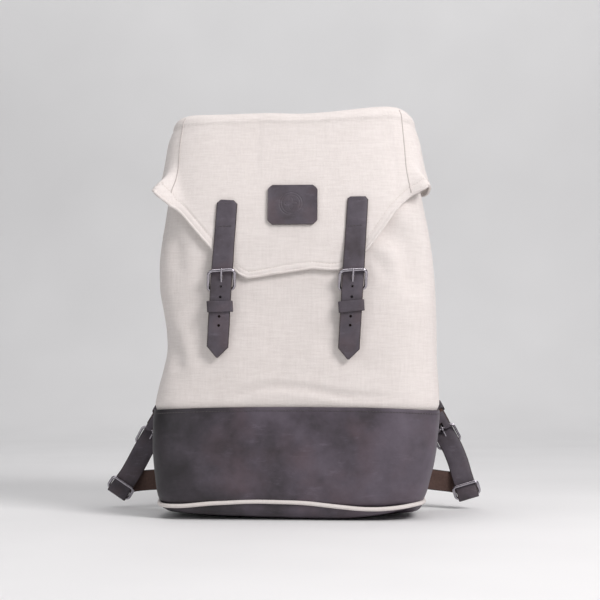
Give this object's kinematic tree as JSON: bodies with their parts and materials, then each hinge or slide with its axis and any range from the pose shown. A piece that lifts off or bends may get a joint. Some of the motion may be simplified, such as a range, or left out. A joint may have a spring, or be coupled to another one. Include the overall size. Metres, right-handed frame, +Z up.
{
  "type": "travel backpack",
  "caption": "Boxy canvas rucksack with a leather lower band, a hinged flap held by buckled straps, shoulder straps and a rolled grab handle.",
  "frame": {"origin": "middle of the flat underside of the base", "axes": "+Z up the bag, front with the buckles towards -Y, shoulder straps towards +Y"},
  "size_m": [0.4438, 0.2447, 0.4462],
  "materials": {
    "canvas": "matt heavy cotton canvas, fine plain weave",
    "leather": "waxed, lightly mottled dark brown",
    "nickel": "polished nickel",
    "lining": "plain cotton lining",
    "board": "stiff base board"
  },
  "bodies": {
    "bag": {"canvas_front": "canvas", "canvas_back": "canvas", "canvas_left": "canvas", "canvas_right": "canvas", "base_front": "leather", "base_back": "leather", "base_left": "leather", "base_right": "leather", "bottom_panel": "leather", "bottom_piping": "canvas", "base_board": "board", "lining": "lining", "mouth_hem": "canvas", "flap_seam_strip": "canvas", "back_yoke": "leather", "handle_foot_left": "leather", "handle_foot_right": "leather", "strap_root_left": "leather", "strap_root_right": "leather", "strap_neck_left": "leather", "strap_neck_right": "leather", "corner_patch_left": "leather", "corner_patch_right": "leather", "buckle_tab_left": "leather", "buckle_tab_right": "leather", "strap_keeper_left": "leather", "strap_keeper_right": "leather"},
    "flap": {"flap_panel": "canvas", "flap_side_left": "canvas", "flap_side_right": "canvas", "flap_patch": "leather", "flap_strap_left": "leather", "flap_strap_right": "leather"},
    "handle": {"grab_handle": "leather"},
    "buckle_left": {"buckle_frame_left": "nickel"},
    "prong_left": {"buckle_prong_left": "nickel"},
    "shoulder_left": {"shoulder_strap_left": "leather", "strap_fold_left": "leather", "strap_frame_left": "nickel", "tail_keeper_left": "leather", "lower_strap_left": "leather"},
    "shoulder_prong_left": {"strap_prong_left": "nickel"},
    "loop_left": {"strap_loop_left": "nickel"},
    "buckle_right": {"buckle_frame_right": "nickel"},
    "prong_right": {"buckle_prong_right": "nickel"},
    "shoulder_right": {"shoulder_strap_right": "leather", "strap_fold_right": "leather", "strap_frame_right": "nickel", "tail_keeper_right": "leather", "lower_strap_right": "leather"},
    "shoulder_prong_right": {"strap_prong_right": "nickel"},
    "loop_right": {"strap_loop_right": "nickel"}
  },
  "joints": [
    {"name": "flap_hinge", "type": "hinge", "parent": "bag", "child": "flap", "pos_m": [0, 0.073, 0.4412], "axis": [-1, 0, 0], "range_deg": [0, 120], "deforming": ["flap_strap_left", "flap_strap_right"]},
    {"name": "handle_swing", "type": "hinge", "parent": "bag", "child": "handle", "pos_m": [0, 0.0842, 0.406], "axis": [1, 0, 0], "range_deg": [0, 150]},
    {"name": "buckle_swing_left", "type": "hinge", "parent": "bag", "child": "buckle_left", "pos_m": [-0.07732, -0.0764, 0.25], "axis": [0.9981, 0, 0.0611], "range_deg": [0, 35]},
    {"name": "prong_lift_left", "type": "hinge", "parent": "buckle_left", "child": "prong_left", "pos_m": [-0.07732, -0.0764, 0.25], "axis": [0.9981, 0, 0.0611], "range_deg": [0, 70]},
    {"name": "strap_swing_left", "type": "hinge", "parent": "bag", "child": "shoulder_left", "pos_m": [-0.064, 0.096, 0.3675], "axis": [-0.195, -0.0517, -0.9794], "range_deg": [-8, 40], "deforming": ["lower_strap_left"]},
    {"name": "strap_prong_lift_left", "type": "hinge", "parent": "shoulder_left", "child": "shoulder_prong_left", "pos_m": [-0.17815, 0.09923, 0.0901], "axis": [0.8838, 0, -0.4679], "range_deg": [0, 60]},
    {"name": "loop_tilt_left", "type": "hinge", "parent": "shoulder_left", "child": "loop_left", "pos_m": [-0.21887, 0.08629, 0.0177], "axis": [0.8321, 0, -0.5547], "range_deg": [0, 50]},
    {"name": "buckle_swing_right", "type": "hinge", "parent": "bag", "child": "buckle_right", "pos_m": [0.06508, -0.0764, 0.25], "axis": [0.9981, 0, 0.0611], "range_deg": [0, 35]},
    {"name": "prong_lift_right", "type": "hinge", "parent": "buckle_right", "child": "prong_right", "pos_m": [0.06508, -0.0764, 0.25], "axis": [0.9981, 0, 0.0611], "range_deg": [0, 70]},
    {"name": "strap_swing_right", "type": "hinge", "parent": "bag", "child": "shoulder_right", "pos_m": [0.064, 0.096, 0.3675], "axis": [-0.195, 0.0517, 0.9794], "range_deg": [-8, 40], "deforming": ["lower_strap_right"]},
    {"name": "strap_prong_lift_right", "type": "hinge", "parent": "shoulder_right", "child": "shoulder_prong_right", "pos_m": [0.16815, 0.09923, 0.0941], "axis": [0.8838, 0, 0.4679], "range_deg": [0, 60]},
    {"name": "loop_tilt_right", "type": "hinge", "parent": "shoulder_right", "child": "loop_right", "pos_m": [0.19803, 0.08624, 0.01581], "axis": [0.957, 0, 0.29], "range_deg": [0, 50]}
  ]
}
